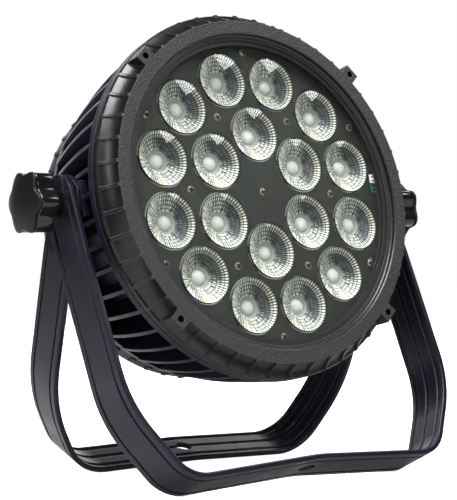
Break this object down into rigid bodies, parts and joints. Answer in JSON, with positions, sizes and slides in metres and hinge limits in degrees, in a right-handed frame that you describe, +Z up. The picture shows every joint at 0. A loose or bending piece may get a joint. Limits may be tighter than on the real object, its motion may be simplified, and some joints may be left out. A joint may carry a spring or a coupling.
{
  "type": "par can light",
  "caption": "LED par can stage light: ribbed round head with a lens array behind clear glass, finned body, two nested U-yokes as stand and hanger, and side clamp knobs.",
  "frame": {"origin": "centre of the bounding box at floor level, where the spread yokes stand", "axes": "+Z up, the beam leaves towards -Y (tilted up 13.5 degrees), +X along the pivot axis"},
  "size_m": [0.293, 0.204, 0.2818],
  "materials": {
    "bezel_paint": "fine satin black powder coat on cast aluminium",
    "front_glass": "clear toughened glass",
    "gasket_rubber": "matt black",
    "plate_paint": "matt dark grey paint",
    "lens_clear": "clear moulded optic with beaded flank",
    "holder_plastic": "matt black",
    "emitter": "ceramic package with clear dome",
    "board_white": "white solder mask",
    "connector_white": "moulded nylon",
    "terminal_green": "moulded green plastic",
    "screw_bronze": "yellow zinc plated",
    "housing_paint": "black powder coat on cast aluminium",
    "screw_black": "black oxide",
    "cover_paint": "black powder coat on cast aluminium",
    "driver_case": "potted case",
    "board_green": "green solder mask",
    "panel_plastic": "textured black",
    "display_clear": "smoked clear window",
    "power_blue": "moulded blue plastic",
    "power_grey": "moulded grey plastic",
    "socket_black": "moulded black plastic",
    "eye_steel": "zinc plated steel",
    "spacer_nylon": "black nylon",
    "button_plastic": "gloss black",
    "yoke_anodised": "satin black anodised extrusion",
    "washer_steel": "black oxide steel",
    "stud_steel": "zinc plated steel",
    "knob_gloss": "gloss black moulding",
    "knob_cap_matte": "satin black moulding"
  },
  "bodies": {
    "front_yoke": {"front_yoke": "yoke_anodised"},
    "rear_yoke": {"rear_yoke": "yoke_anodised", "yoke_spacers": "spacer_nylon"},
    "head": {"bezel": "bezel_paint", "front_glass": "front_glass", "glass_gasket": "gasket_rubber", "lens_plate": "plate_paint", "lens_01": "lens_clear", "lens_02": "lens_clear", "lens_03": "lens_clear", "lens_04": "lens_clear", "lens_05": "lens_clear", "lens_06": "lens_clear", "lens_07": "lens_clear", "lens_08": "lens_clear", "lens_09": "lens_clear", "lens_10": "lens_clear", "lens_11": "lens_clear", "lens_12": "lens_clear", "lens_13": "lens_clear", "lens_14": "lens_clear", "lens_15": "lens_clear", "lens_16": "lens_clear", "lens_17": "lens_clear", "lens_18": "lens_clear", "lens_holders": "holder_plastic", "led_emitters": "emitter", "led_board": "board_white", "board_connector": "connector_white", "terminal_block": "terminal_green", "plate_screws": "screw_bronze", "heatsink_housing": "housing_paint", "housing_gasket": "gasket_rubber", "bezel_screws": "screw_black", "rear_gasket": "gasket_rubber", "rear_cover": "cover_paint", "cover_screws": "screw_black", "power_supply": "driver_case", "control_board": "board_green", "control_panel": "panel_plastic", "display_window": "display_clear", "power_inlet": "power_blue", "power_outlet": "power_grey", "data_inlet": "socket_black", "data_outlet": "socket_black", "safety_eye": "eye_steel", "head_spacers": "spacer_nylon"},
    "left_clamp": {"left_knob_washer": "washer_steel"},
    "left_knob": {"left_stud": "stud_steel", "left_knob_grip": "knob_gloss", "left_knob_cap": "knob_cap_matte"},
    "right_clamp": {"right_knob_washer": "washer_steel"},
    "right_knob": {"right_stud": "stud_steel", "right_knob_grip": "knob_gloss", "right_knob_cap": "knob_cap_matte"},
    "button_1": {"button_1": "button_plastic"},
    "button_2": {"button_2": "button_plastic"},
    "button_3": {"button_3": "button_plastic"},
    "button_4": {"button_4": "button_plastic"}
  },
  "joints": [
    {"name": "rear_yoke_spread", "type": "hinge", "parent": "front_yoke", "child": "rear_yoke", "pos_m": [0, -0.01052, 0.16327], "axis": [1, 0, 0], "range_deg": [-44, 50]},
    {"name": "head_tilt", "type": "hinge", "parent": "front_yoke", "child": "head", "pos_m": [0, -0.01052, 0.16327], "axis": [1, 0, 0], "range_deg": [-90, 120]},
    {"name": "left_knob_travel", "type": "slide", "parent": "head", "child": "left_clamp", "axis": [-1, 0, 0], "range_m": [0, 0.00375]},
    {"name": "left_knob_turn", "type": "hinge", "parent": "left_clamp", "child": "left_knob", "pos_m": [-0.13, -0.01052, 0.16327], "axis": [-1, 0, 0], "range_deg": [0, 1080]},
    {"name": "right_knob_travel", "type": "slide", "parent": "head", "child": "right_clamp", "axis": [1, 0, 0], "range_m": [0, 0.00375]},
    {"name": "right_knob_turn", "type": "hinge", "parent": "right_clamp", "child": "right_knob", "pos_m": [0.13, -0.01052, 0.16327], "axis": [1, 0, 0], "range_deg": [0, 1080]},
    {"name": "button_1_press", "type": "slide", "parent": "head", "child": "button_1", "axis": [0, -0.9724, 0.2334], "range_m": [0, 0.001], "stiffness_N_per_m": 400, "springref_m": -0.0005},
    {"name": "button_2_press", "type": "slide", "parent": "head", "child": "button_2", "axis": [0, -0.9724, 0.2334], "range_m": [0, 0.001], "stiffness_N_per_m": 400, "springref_m": -0.0005},
    {"name": "button_3_press", "type": "slide", "parent": "head", "child": "button_3", "axis": [0, -0.9724, 0.2334], "range_m": [0, 0.001], "stiffness_N_per_m": 400, "springref_m": -0.0005},
    {"name": "button_4_press", "type": "slide", "parent": "head", "child": "button_4", "axis": [0, -0.9724, 0.2334], "range_m": [0, 0.001], "stiffness_N_per_m": 400, "springref_m": -0.0005}
  ],
  "couplings": [
    {"joint": "left_knob_turn", "follows": "left_knob_travel", "rad_per_m": 5026.5},
    {"joint": "right_knob_turn", "follows": "right_knob_travel", "rad_per_m": 5026.5}
  ]
}
